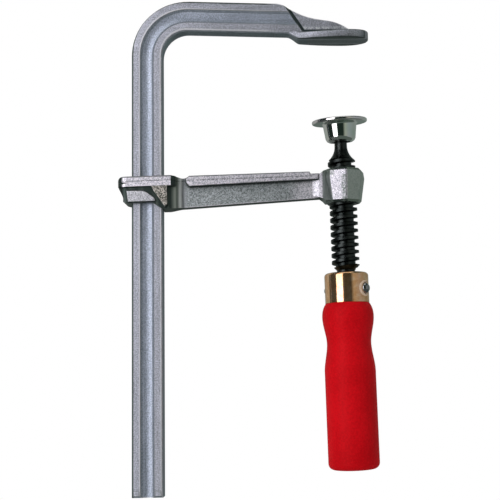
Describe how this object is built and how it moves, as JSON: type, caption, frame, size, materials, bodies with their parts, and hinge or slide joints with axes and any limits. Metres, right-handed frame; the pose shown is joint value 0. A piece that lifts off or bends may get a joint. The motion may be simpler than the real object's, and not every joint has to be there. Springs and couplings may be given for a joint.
{
  "type": "screw clamp",
  "caption": "All-steel screw clamp with a bent grooved rail, a forged sliding arm, a trapezoidal spindle with a swivelling pressure plate and a red wooden handle.",
  "frame": {"origin": "middle of the fixed jaw's clamping face, which is the jaw's lower side", "axes": "+Z points away from the jaw's face, along the rail, up in the picture; +X points from the rail to the jaw's tip, right in the picture; -Y is the side that faces the camera"},
  "size_m": [0.1434, 0.0312, 0.2778],
  "materials": {
    "rail_steel": "satin, zinc plated",
    "arm_steel": "drop-forged, rough skin, zinc plated",
    "spindle_steel": "black oxide, oiled",
    "ring_steel": "spring steel",
    "plate_steel": "bright zinc plated",
    "ferrule_steel": "yellow chromated",
    "handle_wood": "gloss red lacquer",
    "pin_steel": "polished, domed ends"
  },
  "bodies": {
    "rail": {"rail": "rail_steel"},
    "sliding_arm": {"sliding_arm": "arm_steel"},
    "plate_ring": {"snap_ring": "ring_steel"},
    "spindle": {"spindle": "spindle_steel", "ferrule": "ferrule_steel", "handle": "handle_wood", "cross_pin": "pin_steel"},
    "pressure_plate": {"pressure_plate": "plate_steel"}
  },
  "joints": [
    {"name": "arm_slide", "type": "slide", "parent": "rail", "child": "sliding_arm", "axis": [0, 0, 1], "range_m": [-0.153, 0.004]},
    {"name": "spindle_feed", "type": "slide", "parent": "sliding_arm", "child": "plate_ring", "axis": [-0.0227, 0, 0.9997], "range_m": [-0.0055, 0.037]},
    {"name": "spindle_turn", "type": "hinge", "parent": "plate_ring", "child": "spindle", "pos_m": [0.00029, 0, -0.05311], "axis": [-0.0227, 0, 0.9997], "range_deg": [-500, 3340]},
    {"name": "plate_tilt", "type": "hinge", "parent": "plate_ring", "child": "pressure_plate", "pos_m": [0.00029, 0, -0.05311], "axis": [0, 1, 0], "range_deg": [-6, 10]}
  ],
  "couplings": [
    {"joint": "spindle_turn", "follows": "spindle_feed", "rad_per_m": 1570.8}
  ]
}
